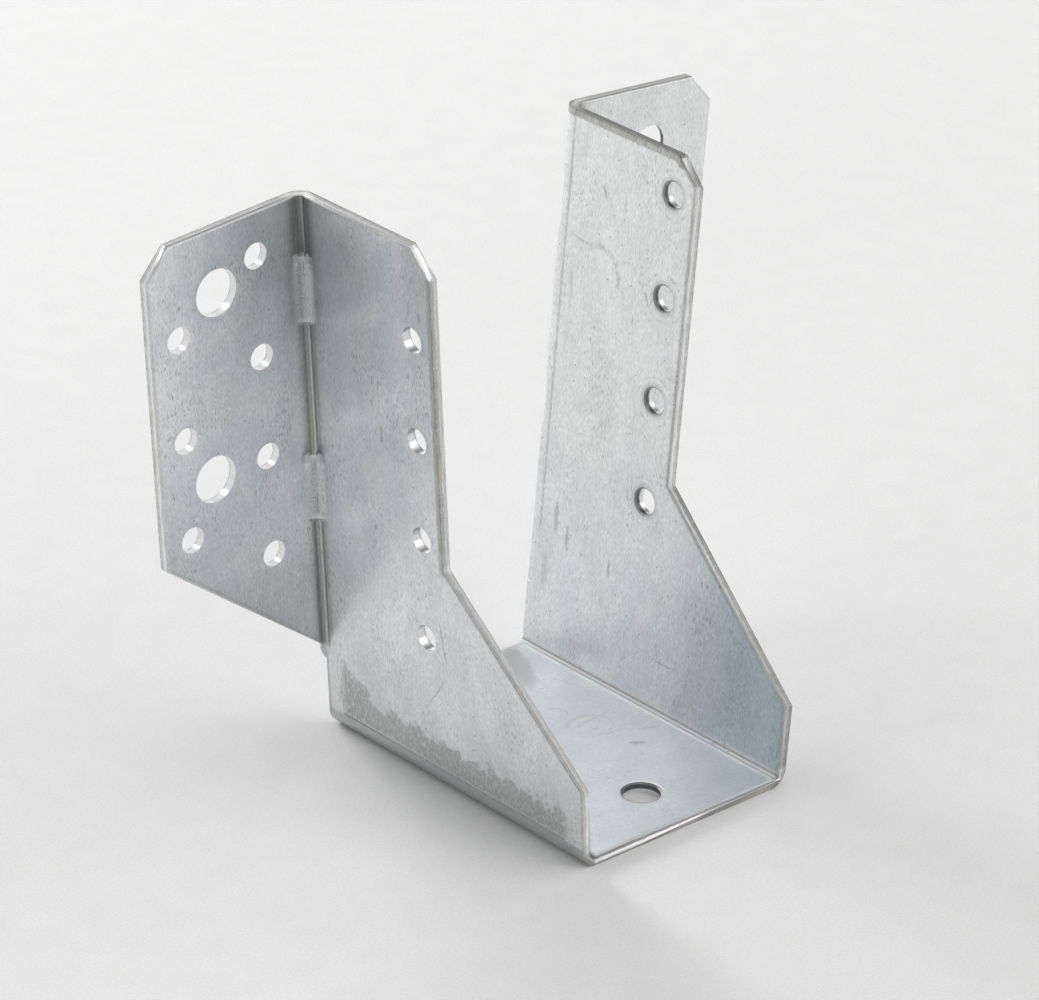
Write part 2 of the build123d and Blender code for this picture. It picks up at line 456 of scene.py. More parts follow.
# The fold of a flange, and the stripes of painted shade that run down it, darker and paler: each one's place
# across the fold, 0 to 1, and tone
flangeFold = {
    "middle": 34.2,
    "reach": (31.0, 38.0),
    "stripes": (
        (0.0, 1.0), (0.19, 0.93), (0.24, 0.44), (0.275, 0.33), (0.315, 0.5), (0.345, 0.88), (0.36, 0.82),
        (0.4, 0.46), (0.51, 0.45), (0.585, 0.3), (0.66, 0.5), (0.78, 0.86), (0.92, 1.0),
    ),
}
# The folds of the seat: the outer skin's colours, which paint shade there, then the lines inside, by height,
# half width and soft edge: a band of painted shade, a rougher middle, a painted highlight and lines of painted
# shade
seatFold = {
    "upper": (0.53, 0.555, 0.55),
    "lower": (0.61, 0.63, 0.62),
    "colour": (0.6, 0.605, 0.6),
    "gleamColour": (0.88, 0.885, 0.88),
    "band": (1.2, 0.9, 1.2),
    "middle": (1.4, 0.5, 0.8),
    "gleam": (1.1, 0.08, 0.25),
    "lines": (1.75, 0.45),
}
# The gussets on the blank, in millimetres, and how strongly their grit and marks show; the crease at each end
# and the shoulders are painted shade
gussets = {
    "top": 90.8,
    "pitch": 40.0,
    "lowest": 40.0,
    "half": 3.0,
    "reach": 6.7,
    "dark": (0.38, 0.385, 0.375),
    "pale": (0.7, 0.705, 0.7),
    "strength": 0.75,
    "crease": 0.9,
    "crack": 0.8,
    "shoulders": 0.28,
    "gritHeight": 0.035,
}
# Painted shade on the outside of the left wall and flange: the middle, half width and soft edge along the
# blank, the heights over which the shade comes in, those over which it fades at the top, and its strength
leftShades = {
    "besideWall": ((25.0, 4.0, 13.0), (64, 98), (98, 108, 1, 0.6), 0.23),
    "besideFlange": ((43.0, 1.5, 9.0), (66, 100), (98, 108, 1, 0.6), 0.13),
    "besideFold": ((35.7, 2.5, 5.0), (20, 90), (98, 108, 1, 1), 0.13),
    "byFront": ((2.0, 2.0, 4.0), (74, 92), (98, 108, 1, 1), 0.14),
}
# Scratches, creases and smears, each from one place of the blank to another, then its width and strength
leftWallMarks = {
    "crease": ((1.2, -58.5), (-0.8, -47.6), 0.4, 0.6),
    "creaseFoot": ((-0.6, -46.5), (5.6, -37.5), 0.4, 0.45),
    "scribeUp": ((30.0, -26.0), (30.2, -33.0), 0.45, 0.5),
    "rubAtHole": ((14.2, -92.5), (14.5, -88.0), 0.9, 0.5),
    "rubHigh": ((5.0, -120.5), (5.3, -116.5), 0.7, 0.5),
    "rubHighest": ((2.4, -119.0), (2.6, -115.5), 0.6, 0.6),
}
rightWallMarks = {
    "crackle": ((31.2, 124.0), (31.4, 107.5), 0.6, 0.5),
    "crackleAcross": ((30.4, 107.3), (23.5, 106.3), 0.6, 0.35),
    "branch": ((16.9, 106.4), (13.0, 106.7), 0.4, 0.3),
    "branchDown": ((12.7, 106.0), (6.6, 98.1), 0.4, 0.3),
    "nick": ((22.6, 119.4), (21.6, 116.6), 0.5, 0.8),
    "rub": ((16.6, 119.0), (16.4, 115.0), 0.5, 0.45),
    "scratch": ((1.3, 33.3), (-8.6, 33.6), 0.24, 0.6),
    "scratchFront": ((-19.3, 34.1), (-31.3, 33.0), 0.24, 0.35),
    "smearRear": ((29.5, 44.0), (29.0, 36.0), 2.4, 0.3),
    "smearLow": ((27.5, 55.0), (27.3, 47.5), 1.4, 0.5),
    "smearLower": ((24.0, 51.0), (23.8, 45.0), 1.0, 0.55),
    "smearMiddle": ((12.4, 48.5), (12.2, 44.5), 0.8, 0.5),
    "smearHigh": ((29.0, 101.0), (28.8, 92.0), 1.0, 0.25),
}
seatMarks = {
    "strokeRear": ((1.5, 6.5), (2.4, 17.0), 0.8, 0.22),
    "strokeMiddle": ((-3.2, 6.0), (-4.6, 15.0), 0.6, 0.15),
    "strokeFront": ((-8.8, 10.5), (-11.0, 13.5), 1.5, 0.5),
    "strokeFar": ((-6.0, 15.5), (-8.4, 20.0), 0.6, 0.2),
    # painted shade at the rear of the seat
    "seatRearShade": ((34.5, 19.5), (17.0, 10.3), 5.5, 0.5),
}
# Curved strokes: the centre, the radius, the width, and the way from the centre to the stroke
arcs = {
    "sweep": ((22.0, 102.0), 5.3, 1.1, (-0.6, 0.8)),
    "curl": ((7.6, 7.6), 2.3, 0.4, (0.3, 0.95)),
    "wideCurl": ((-0.4, 9.5), 4.6, 0.7, (0.9, 0.3)),
}


def marksOf(tree, at, marks):
    made = []
    for start, end, width, strength in marks.values():
        made.append(times(tree, stroke(tree, at, start, end, width), strength))
    return most(tree, *made)


# The wear that darkens the skin: short upright scuffs in crowds, specks, rings that nail heads left,
# and single marks; among them are a painted shade line at the right wall's bend and painted shade at the
# seat's rear
def wearAndShade(tree, at):
    inner, outer = at["skin"], unless(tree, at["skin"])
    strokes = noise(tree, at["grain"], zinc["strokeWidth"], (1, 0.2), detail=3, rough=0.65, shift=13,
                    distortion=0.4)
    crowds = noise(tree, at["grain"], zinc["crowdSize"], (1, 0.6), detail=3, rough=0.65, shift=29)
    frontRub = times(tree, nearAlong(tree, at, 1.5, 3.0, 3.0), outer, byHeight(tree, at, 45, 60))
    wearAndRimShade = calc(tree, "MULTIPLY_ADD", frontRub, 0.1, crowds)
    onSeat = byHeight(tree, at, -1, 0, 0.6, 1)
    scuffs = times(tree, between(tree, strokes, 0.57, 0.68), between(tree, wearAndRimShade, 0.47, 0.66), onSeat)
    dots = put(tree, "ShaderNodeTexVoronoi", {"Vector": at["grain"], "Scale": 0.3}, voronoi_dimensions="2D")
    lot = put(tree, "ShaderNodeSeparateColor", {0: dots.outputs["Color"]}).outputs[0]
    dot = times(tree, between(tree, dots.outputs["Distance"], 0.03, 0.07, 1, 0),
                calc(tree, "GREATER_THAN", lot, 0.75), byHeight(tree, at, -1, 0, 0.25, 0.75))
    ringNoise = noise(tree, at["grain"], 1.8, (1, 0.7), detail=3, rough=0.7, shift=61)
    ringPatch = between(tree, ringNoise, 0.48, 0.62)
    nearRing = band(tree, at["wallNail"], 3.0, 0.2, 0.6)
    farRing = times(tree, band(tree, at["wallNail"], zinc["ringRadius"], 0.06, 0.3), ringPatch)
    rings = calc(tree, "MULTIPLY_ADD", nearRing, 0.25, times(tree, farRing, 0.45))
    ring = times(tree, rings, at["right"], inner)
    crackled = noise(tree, at["place"], 0.9, (1, 0.6), detail=3, rough=0.8, shift=37)
    sweep = times(tree, arc(tree, at, *arcs["sweep"]), between(tree, crackled, 0.4, 0.6), 0.45)
    scribed = times(tree, nearHeight(tree, at, zinc["lowFold"], 0.12, 0.25),
                    nearAlong(tree, at, -0.5, 30.0, 1.0),
                    byAlong(tree, at, 15, 24, 0.7, 0.95))
    leftMarks = most(tree, marksOf(tree, at, leftWallMarks), scribed)
    left = times(tree, leftMarks, unless(tree, at["right"]), outer)
    # a painted shade line where the right wall's inner skin starts to turn
    bendLine = times(tree, nearAlong(tree, at, zinc["rightBend"], 0.1, 0.35), byHeight(tree, at, 22, 30),
                     between(tree, crackled, 0.3, 0.55, 0.35, 1), 0.5)
    right = times(tree, most(tree, marksOf(tree, at, rightWallMarks), sweep, bendLine), at["right"], inner)
    curl = times(tree, arc(tree, at, *arcs["curl"]), 0.25)
    wideCurl = times(tree, arc(tree, at, *arcs["wideCurl"]), 0.22)
    seatWearAndShade = times(tree, most(tree, marksOf(tree, at, seatMarks), curl, wideCurl), inner)
    return most(tree, times(tree, scuffs, 0.8), dot, ring, left, right, seatWearAndShade)


# A rubbed, dull strip low on the left wall, with a ragged upper border
def dulledStrip(tree, at):
    ragged = noise(tree, at["place"], 3.4, (1, 0.9), detail=4, rough=0.65, shift=71)
    level = calc(tree, "MULTIPLY_ADD", ragged, 8.0, at["height"])
    level = calc(tree, "ADD", level, byAlong(tree, at, 20, 27, 0, -4))
    strip = times(tree, between(tree, level, 13.2, 14.6, 1, 0), byHeight(tree, at, 4.3, 5.0),
                  nearAlong(tree, at, -0.9, 29.5, 2.0), unless(tree, at["skin"]),
                  unless(tree, at["right"]))
    brushed = noise(tree, at["place"], 0.6, (1, 0.5), detail=3, rough=0.75, shift=83)
    return times(tree, strip, between(tree, brushed, 0.3, 0.6, 0.4, 1))


# Painted shade where the skin rolls over at the rims: the left strip's front outside, the right wall's top
# inside, a thin band at every rim
def rolledRimShade(tree, at, streaks):
    inner, outer = at["skin"], unless(tree, at["skin"])
    level = calc(tree, "MULTIPLY_ADD", streaks, 0.7, calc(tree, "SUBTRACT", at["rim"], 0.35))
    level = calc(tree, "MULTIPLY_ADD", at["right"], -0.3, level)
    reach = between(tree, level, zinc["rimBand"] - 0.15, zinc["rimBand"] + 0.15, 1, 0)
    front = times(tree, outer, byAlong(tree, at, 1.0, 1.5, 1, 0), byHeight(tree, at, 44, 47),
                  byHeight(tree, at, 103.5, 104.5, 1, 0))
    top = times(tree, inner, at["right"], byHeight(tree, at, 106.5, 107.0))
    thin = times(tree, between(tree, at["rim"], 0.1, 0.7, 1, 0), 0.35)
    wearAndRimShade = times(tree, reach, most(tree, front, top), between(tree, streaks, 0.3, 0.6, 0.6, 1))
    return most(tree, wearAndRimShade, thin)


# The gussets pressed over the flange folds: their rows on the blank, their faces, and the marks at their ends,
# where the crease and the shoulders are painted shade
def pressedGussets(tree, at, outer, fromFold, streaks, mottle):
    step = calc(tree, "WRAP", calc(tree, "SUBTRACT", gussets["top"], at["height"]),
                gussets["pitch"] / 2, -gussets["pitch"] / 2)
    upHere = times(tree, calc(tree, "GREATER_THAN", at["height"], gussets["lowest"]), outer)
    half, reach = gussets["half"], gussets["reach"]
    rows = times(tree, band(tree, step, 0, reach - 0.4, 0.5), upHere)
    shoulder = between(tree, step, -reach, -0.35 * reach, 0.55, 1)
    spread = calc(tree, "DIVIDE", calc(tree, "ABSOLUTE", fromFold), calc(tree, "MULTIPLY", shoulder, half))
    face = times(tree, between(tree, spread, 0.3, 1.3, 1, 0), band(tree, step, 0, reach - 1.5, 1.6), upHere)
    # painted shade in the crease at each end of a gusset
    crease = times(tree, band(tree, step, reach, 0.06, 0.22), band(tree, fromFold, 0, 2.2, 0.7), upHere,
                   gussets["crease"])
    unevenFold = calc(tree, "MULTIPLY_ADD", mottle, 0.8, fromFold)
    crack = times(tree, band(tree, unevenFold, 0.0, 0.05, 0.25), face, between(tree, streaks, 0.42, 0.55),
                  gussets["crack"])
    fromSides = calc(tree, "ABSOLUTE", fromFold)
    # painted shade on the shoulders at the upper end of each gusset
    shoulders = times(tree, band(tree, step, 0.4 - reach, 0.8, 0.7), band(tree, fromSides, 2.1, 0.8, 0.8),
                      upHere, gussets["shoulders"])
    return {"rows": rows, "face": face, "crease": crease, "crack": crack, "shoulders": shoulders}


# The painted shade that runs down a flange's fold in dark and paler lines, across it
def foldStripes(tree, at):
    across = between(tree, at["along"], *flangeFold["reach"], smooth=False)
    ramp = put(tree, "ShaderNodeValToRGB", {"Fac": across})
    stripes = flangeFold["stripes"]
    for spot, level in stripes[1:-1]:
        ramp.color_ramp.elements.new(spot)
    for element, (spot, level) in zip(ramp.color_ramp.elements, stripes):
        element.position = spot
        element.color = (level, level * (0.95 + 0.05 * level), level * (0.84 + 0.16 * level), 1)
    return ramp.outputs[0]


# One of the painted shades of the left side's outer skin
def leftShade(tree, at, name, leftOuter):
    along, heights, fades, strength = leftShades[name]
    return times(tree, nearAlong(tree, at, *along), byHeight(tree, at, *heights), byHeight(tree, at, *fades),
                 leftOuter, strength)


# Painted light and shade on the skin at each place, apart from its grain
def skinShades(tree, at, gusset, fromFold):
    inner, outer = at["skin"], unless(tree, at["skin"])
    left, low = unless(tree, at["right"]), byHeight(tree, at, 30, 45, 1, 0)
    leftOuter = times(tree, left, outer)
    seatTop = times(tree, byHeight(tree, at, -1, 0, 1, 0), inner)
    # painted shade near the top of the flange fold
    foldTop = times(tree, band(tree, fromFold, 0, 2.2, 2.5), byHeight(tree, at, 97, 99), outer, 0.25)
    # painted shade low at the rear of the left wall
    lowRear = times(tree, byAlong(tree, at, 12, 25), low, leftOuter, 0.1)
    # painted shade beside the gussets, higher up
    byGusset = times(tree, gusset["rows"], byHeight(tree, at, 60, 75),
                     band(tree, fromFold, 2.4, 0.8, 1.8), 0.17)
    # painted shade in the middle of the seat
    midSeat = times(tree, seatTop, nearAlong(tree, at, 3.0, 7.0, 9.0), 0.08)
    single = most(tree, foldTop, lowRear, leftShade(tree, at, "byFront", leftOuter), byGusset, midSeat,
                  gusset["shoulders"])
    # painted light towards the outer edge of the left flange
    flangeEdge = times(tree, byAlong(tree, at, 52, 66), leftOuter, byHeight(tree, at, 58, 80, 0.09, 0.17))
    rightWall = times(tree, at["right"], low, inner, byHeight(tree, at, 1.5, 3.5))
    # painted light low on the right wall's inner skin, towards the rear
    lowRight = times(tree, rightWall, byAlong(tree, at, -15, 5), 0.05)
    # painted light and shade over the left side's outer skin, lighter low down and darker towards the front
    lowWall = times(tree, byHeight(tree, at, 38, 54, 1, 0), byAlong(tree, at, 30, 36, 1, 0))
    leftLevel = times(tree, between(tree, lowWall, 0, 1, 0.95, 1), byHeight(tree, at, 45, 95, 1.055, 0.995),
                      byAlong(tree, at, -22, -2, 0.955, 1))
    # painted shade on the front of the seat
    seatFront = times(tree, seatTop, byAlong(tree, at, -14, 0, 1, 0))
    lighter = calc(tree, "ADD", calc(tree, "ADD", 1.0, flangeEdge), lowRight)
    shades = times(tree, unless(tree, single), lighter, between(tree, leftOuter, 0, 1, 1, leftLevel),
                   between(tree, seatFront, 0, 1, 1, 0.94))
    for name in ("besideWall", "besideFlange", "besideFold"):
        shades = times(tree, shades, unless(tree, leftShade(tree, at, name, leftOuter)))
    # painted light: a paler tone up the right wall and low on the left side's outer skin
    pale = most(tree, times(tree, at["right"], byHeight(tree, at, 25, 55), 0.8),
                times(tree, low, leftOuter, 0.27))
    # painted shade low at the front of the right wall
    lowNose = times(tree, byAlong(tree, at, -24, -4, 1, 0), rightWall)
    return shades, pale, lowNose, seatTop


def zincSkin():
    material, tree, shader = startMaterial("galvanisedSkin")
    at = layOut(tree)
    inner, outer = at["skin"], unless(tree, at["skin"])
    grain = noise(tree, at["grain"], zinc["grainWidth"], (1, 0.22), detail=2, rough=0.6)
    streaks = noise(tree, at["grain"], zinc["streakWidth"], (1, 0.12), detail=3, rough=0.6, shift=3)
    mottle = noise(tree, at["grain"], zinc["mottleSize"], (1, 0.7), detail=3, rough=0.75, shift=19)
    clouds = noise(tree, at["grain"], zinc["cloudSize"], (1, 0.6), detail=3, rough=0.6, shift=7)
    tints = noise(tree, at["grain"], zinc["tintSize"], (1, 0.5), detail=2, shift=53)
    grit = noise(tree, at["place"], zinc["gritSize"], (1, 0.7), detail=3, rough=0.7, shift=23)
    dark = wearAndShade(tree, at)
    dull = dulledStrip(tree, at)
    rimShade = rolledRimShade(tree, at, streaks)
    fromFold = calc(tree, "SUBTRACT", at["along"], flangeFold["middle"])
    gusset = pressedGussets(tree, at, outer, fromFold, streaks, mottle)
    shades, pale, lowNose, seatTop = skinShades(tree, at, gusset, fromFold)

    colour = tinted(tree, between(tree, clouds, 0.38, 0.62), zinc["colour"], zinc["green"])
    violet = times(tree, between(tree, tints, 0.5, 0.65), byHeight(tree, at, -1, 0, 0.3, 1))
    colour = tinted(tree, violet, colour, zinc["violet"])
    # painted light: the paler tone
    colour = tinted(tree, pale, colour, zinc["pale"])
    tone = times(tree, between(tree, grain, 0.32, 0.68, 0.88, 1.085),
                 between(tree, streaks, 0.32, 0.68, 0.96, 1.03),
                 between(tree, mottle, 0.34, 0.66, 0.965, 1.025),
                 between(tree, clouds, 0.35, 0.65, 0.96, 1.03))
    contrast = between(tree, seatTop, 0, 1, 1, 0.5)
    tone = calc(tree, "MULTIPLY_ADD", calc(tree, "SUBTRACT", tone, 1.0), contrast, 1.0)
    # the grain's tone times the painted light and shade, then the painted shade low at the right wall's front
    colour = tinted(tree, 1.0, colour, grey(tree, times(tree, tone, shades)), "MULTIPLY")
    colour = tinted(tree, lowNose, colour, zinc["noseShade"], "MULTIPLY")
    # painted shade down the hollow of each flange fold
    inFold = times(tree, outer, unless(tree, gusset["rows"]), byHeight(tree, at, 16.5, 18.5))
    colour = tinted(tree, inFold, colour, tinted(tree, 1.0, colour, foldStripes(tree, at), "MULTIPLY"))

    coarseness = between(tree, fromFold, -1.5, 1.0, 0.35, 1)
    coarse = calc(tree, "MULTIPLY_ADD", calc(tree, "SUBTRACT", grit, 0.5), coarseness, 0.5)
    gritty = tinted(tree, between(tree, coarse, 0.38, 0.62), gussets["dark"], gussets["pale"])
    # painted light and shade on each gusset's grit: lighter before its fold, darker beyond it higher up
    wallSide = times(tree, between(tree, fromFold, 0, 1.5), byHeight(tree, at, 60, 75), 0.3)
    grittyTone = times(tree, between(tree, fromFold, -2.5, 1.0, 1.25, 0.98), unless(tree, wallSide))
    gritty = tinted(tree, 1.0, gritty, grey(tree, grittyTone), "MULTIPLY")
    colour = tinted(tree, times(tree, gusset["face"], gussets["strength"]), colour, gritty)

    # painted shade on the outer skin of the seat's folds, below the scribed line, darker higher up
    lowFold = times(tree, byHeight(tree, at, zinc["lowFold"] - 0.4, zinc["lowFold"], 1, 0), outer)
    foldColour = tinted(tree, byHeight(tree, at, -2.0, 1.5, 1, 0), seatFold["upper"], seatFold["lower"])
    colour = tinted(tree, times(tree, lowFold, 0.9), colour, foldColour)
    # inside the seat's folds: a band of painted shade, a painted highlight line and lines of painted shade
    foldBand = times(tree, nearHeight(tree, at, *seatFold["band"]), inner)
    foldMiddle = times(tree, nearHeight(tree, at, *seatFold["middle"]), inner)
    lines = most(tree, *[nearHeight(tree, at, height, 0.1, 0.3) for height in seatFold["lines"]])
    foldLines = times(tree, lines, inner, 0.6)
    foldGleam = times(tree, nearHeight(tree, at, *seatFold["gleam"]), inner, 0.5)
    # painted shade round the holes' rims on the inner skin, darkest at the seat's hole
    holeRim = times(tree, between(tree, at["hole"], 0.2, 0.5, 1, 0), inner, 0.85)
    # painted shade on the seat near its front rim
    frontLip = times(tree, seatTop, between(tree, at["rim"], 0.0, 0.4, 1, 0), 0.3)
    colour = tinted(tree, times(tree, foldBand, 0.45), colour, seatFold["colour"])
    colour = tinted(tree, foldGleam, colour, seatFold["gleamColour"])
    colour = tinted(tree, times(tree, dull, 0.74), colour, zinc["dull"])
    # painted shade where the skin rolls over at the rims
    colour = tinted(tree, times(tree, rimShade, 0.85), colour, zinc["olive"])
    # scuffs and marks, with the painted shade of creases, rims, the seat's lip and the fold lines
    darkest = most(tree, dark, gusset["crease"], gusset["crack"], holeRim, frontLip, foldLines)
    colour = tinted(tree, times(tree, darkest, 0.85), colour, zinc["scuffAndShade"])
    colour = tinted(tree, times(tree, holeRim, seatTop, 0.7), colour, zinc["seatHoleRim"])
    tree.links.new(colour, shader.inputs["Base Color"])
    rough = between(tree, clouds, 0.3, 0.7, zinc["roughness"], zinc["roughness"] + 0.03)
    darkHere = times(tree, dark, unless(tree, seatTop), 0.5)
    worn = most(tree, darkHere, dull, gusset["face"], rimShade, foldBand)
    rough = calc(tree, "ADD", rough, times(tree, worn, 0.17))
    byRim = between(tree, at["rim"], 0, 0.5, 1, 0)
    wearAndRimShade = most(tree, holeRim, foldMiddle, byRim, times(tree, gusset["face"], 0.5))
    rough = calc(tree, "ADD", rough, times(tree, wearAndRimShade, 0.3))
    tree.links.new(rough, shader.inputs["Roughness"])
    shader.inputs["Metallic"].default_value = 1
    shader.inputs["Anisotropic"].default_value = zinc["anisotropy"]
    tangent = put(tree, "ShaderNodeTangent", direction_type="UV_MAP", uv_map="blank")
    tree.links.new(tangent.outputs[0], shader.inputs["Tangent"])

    rim = least(tree, at["rim"], at["hole"])
    roll = between(tree, rim, 0, zinc["rollReach"], 0, zinc["rollHeight"])
    waves = times(tree, noise(tree, at["grain"], zinc["waveSize"], detail=1, shift=41), zinc["waveHeight"],
                  byHeight(tree, at, 3, 12, 0.2, 1))
    gritHeight = times(tree, gusset["face"], gussets["gritHeight"])
    fine = calc(tree, "MULTIPLY_ADD", grit, gritHeight, times(tree, grain, zinc["grainHeight"]))
    height = calc(tree, "ADD", calc(tree, "ADD", roll, waves), fine)
    bump = put(tree, "ShaderNodeBump", {"Strength": 1.0, "Distance": mm, "Height": height})
    tree.links.new(bump.outputs[0], shader.inputs["Normal"])
    return material


# Colours across a sheared edge, by the depth from the side that the shear entered, in millimetres
shear = {
    "bands": {
        "lip": (0.0, (0.86, 0.86, 0.86)),
        "lipEnd": (0.2, (0.83, 0.83, 0.83)),
        "lipShade": (0.32, (0.68, 0.68, 0.67)),
        "lipShadeEnd": (0.42, (0.7, 0.7, 0.69)),
        "smooth": (0.6, (0.9, 0.9, 0.895)),
        "smoothEnd": (1.15, (0.87, 0.87, 0.865)),
        "torn": (1.28, (0.62, 0.615, 0.6)),
        "tornEnd": (1.75, (0.7, 0.695, 0.68)),
        "burr": (1.93, (0.4, 0.395, 0.38)),
    },
    # the seat's front edge: painted shade on its lip and in the shade band, a painted highlight in the smooth
    # band, and the torn part and burr dark as they are and also as painted shade
    "seatBands": {
        "lip": (0.0, (0.42, 0.425, 0.43)),
        "lipEnd": (0.3, (0.36, 0.365, 0.37)),
        "shade": (0.55, (0.26, 0.26, 0.26)),
        "shadeEnd": (0.75, (0.3, 0.3, 0.3)),
        "smooth": (1.1, (0.9, 0.9, 0.9)),
        "smoothEnd": (1.6, (0.93, 0.93, 0.93)),
        "torn": (1.8, (0.6, 0.59, 0.575)),
        "burr": (1.95, (0.5, 0.485, 0.465)),
    },
    "streakLength": 6.0,
    "streakDepth": 0.16,
    "crumbSize": 0.22,
    "roughness": 0.34,
    "lipRoughness": 0.5,
    "lipRise": 0.12,                    # how far the lip rolls away, in millimetres
    "lipReach": 0.95,
    "seatRise": 0.95,
    "seatReach": 1.9,
    # painted light and shade: tones that make each edge lighter or darker by how the light falls on it
    "topTone": (0.82, 0.72),            # left and right
    "rightTop": (0.3, 0.75),            # tones of the far and the near part of an edge
    "rightSlope": (0.52, 0.7),
    "rightSlopeLow": 0.82,              # its lower half against its upper half
    "rightCorner": 0.6,
    "rightNose": 0.66,
    "seatLeft": 0.74,                   # the seat's front edge at its left end
    "leftBend": 1.2,
    "leftSlope": 0.8,
    "leftStrip": (0.95, 0.78),
    "relief": 1.6,
}


# A ramp of colours over the depth of a cut edge
def acrossEdge(tree, level, bands):
    ramp = put(tree, "ShaderNodeValToRGB", {"Fac": between(tree, level, 0, 2, smooth=False)})
    for spot, colour in bands[1:-1]:
        ramp.color_ramp.elements.new(spot / 2)
    for element, (spot, colour) in zip(ramp.color_ramp.elements, bands):
        element.position = spot / 2
        element.color = (*colour, 1)
    return ramp.outputs[0]


# A tone where the mask is 1, and no change elsewhere
def toned(tree, mask, tone):
    return calc(tree, "MULTIPLY_ADD", mask, calc(tree, "SUBTRACT", tone, 1.0), 1.0)


def shearedEdge():
    material, tree, shader = startMaterial("shearedEdge")
    at = layOut(tree)
    depth = put(tree, "ShaderNodeAttribute", attribute_name="cut").outputs["Fac"]
    run = calc(tree, "ADD", at["along"], at["across"])
    onEdge = put(tree, "ShaderNodeCombineXYZ", {0: times(tree, run, 1 / shear["streakLength"]),
                                                1: times(tree, depth, 1 / shear["streakDepth"])}).outputs[0]
    streaks = noise(tree, onEdge, 1.0, detail=3, rough=0.65)
    onCut = put(tree, "ShaderNodeCombineXYZ", {0: run, 1: depth}).outputs[0]
    crumbs = noise(tree, onCut, shear["crumbSize"], detail=3, rough=0.75, shift=17)
    ragged = noise(tree, at["place"], 0.8, detail=3, rough=0.6, shift=5)
    onSeat = byHeight(tree, at, 1.0, 3.0, 1, 0)
    raggedness = times(tree, between(tree, ragged, 0.3, 0.7, -0.12, 0.12),
                       between(tree, onSeat, 0, 1, 1, 0.4))
    level = calc(tree, "ADD", depth, raggedness)
    left = unless(tree, at["right"])
    onTop = calc(tree, "GREATER_THAN", at["height"], 108.5)
    onRightTop = times(tree, onTop, at["right"], byAlong(tree, at, 30, 36, 1, 0))
    awayFromBend = unless(tree, nearAlong(tree, at, 34.2, 2.0, 2.5))
    ahead = byAlong(tree, at, 0.5, 1.0, 1, 0)
    onSlope = times(tree, ahead, byHeight(tree, at, 13, 17), byHeight(tree, at, 45.5, 46.5, 1, 0))
    onStrip = times(tree, ahead, byHeight(tree, at, 46, 48), byHeight(tree, at, 103.5, 104.5, 1, 0))
    onCorner = times(tree, byAlong(tree, at, 4.0, 4.5, 1, 0), byHeight(tree, at, 104.0, 104.6),
                     unless(tree, onTop))
    onRelief = times(tree, nearAlong(tree, at, 34.0, 2.5, 1.0), nearHeight(tree, at, 15.5, 2.5, 1.0))
    # painted light and shade on the edges
    topTone = between(tree, level, 1.3, 1.65, *shear["rightTop"])
    slopeTone = times(tree, between(tree, level, 0.7, 1.1, shear["rightSlope"][1], shear["rightSlope"][0]),
                      byHeight(tree, at, 22, 38, shear["rightSlopeLow"], 1))
    stripTone = between(tree, level, 0.3, 0.6, *shear["leftStrip"])
    bothTops = between(tree, at["right"], 0, 1, *shear["topTone"])
    seatLeft = times(tree, onSeat, between(tree, at["across"], -20, 2, 1, 0))
    # the cut's streaks and crumbs, times the painted light and shade of each edge
    tone = times(tree, between(tree, streaks, 0.36, 0.62, 0.78, 1.1),
                 between(tree, crumbs, 0.34, 0.6, 0.84, 1.05),
                 toned(tree, times(tree, onTop, awayFromBend), bothTops),
                 toned(tree, onRightTop, topTone),
                 toned(tree, times(tree, onSlope, at["right"]), slopeTone),
                 toned(tree, times(tree, onSlope, left), shear["leftSlope"]),
                 toned(tree, times(tree, onStrip, left), stripTone),
                 toned(tree, times(tree, onCorner, at["right"]), shear["rightCorner"]),
                 toned(tree, times(tree, ahead, byHeight(tree, at, 3, 4), byHeight(tree, at, 13, 17, 1, 0),
                                   at["right"]), shear["rightNose"]),
                 toned(tree, times(tree, onTop, left, unless(tree, awayFromBend)), shear["leftBend"]),
                 toned(tree, seatLeft, shear["seatLeft"]),
                 toned(tree, onRelief, shear["relief"]))
    across = acrossEdge(tree, level, list(shear["bands"].values()))
    colour = tinted(tree, onSeat, across, acrossEdge(tree, level, list(shear["seatBands"].values())))
    colour = tinted(tree, 1.0, colour, grey(tree, tone), "MULTIPLY")
    tree.links.new(colour, shader.inputs["Base Color"])
    rough = between(tree, depth, 0, 0.6, shear["lipRoughness"], shear["roughness"])
    tree.links.new(rough, shader.inputs["Roughness"])
    shader.inputs["Metallic"].default_value = 1
    lip = between(tree, depth, 0, shear["lipReach"], -shear["lipRise"], 0)
    seatLip = between(tree, depth, 0, shear["seatReach"], -shear["seatRise"], 0)
    roll = put(tree, "ShaderNodeMix", {"Factor": onSeat, 2: lip, 3: seatLip}).outputs[0]
    height = calc(tree, "MULTIPLY_ADD", crumbs, between(tree, onSeat, 0, 1, 0.02, 0.008), roll)
    bump = put(tree, "ShaderNodeBump", {"Strength": 1.0, "Distance": mm, "Height": height})
    tree.links.new(bump.outputs[0], shader.inputs["Normal"])
    return material


# The wall of a punched hole: smooth and bright where the punch entered, torn by the inner skin, and painted
# dark as shade there in the right side and the seat
punched = {
    "bright": (0.84, 0.84, 0.835),
    # painted shade on the torn part in the right side and the seat
    "dark": (0.13, 0.135, 0.14),
    "grey": (0.5, 0.505, 0.51),         # the torn part in the left side, which the light reaches
    "torn": 1.55,                       # depth at which it tears, in millimetres
    "tornRight": 0.95,                  # and in the right side and the seat
    "roughness": 0.285,
}


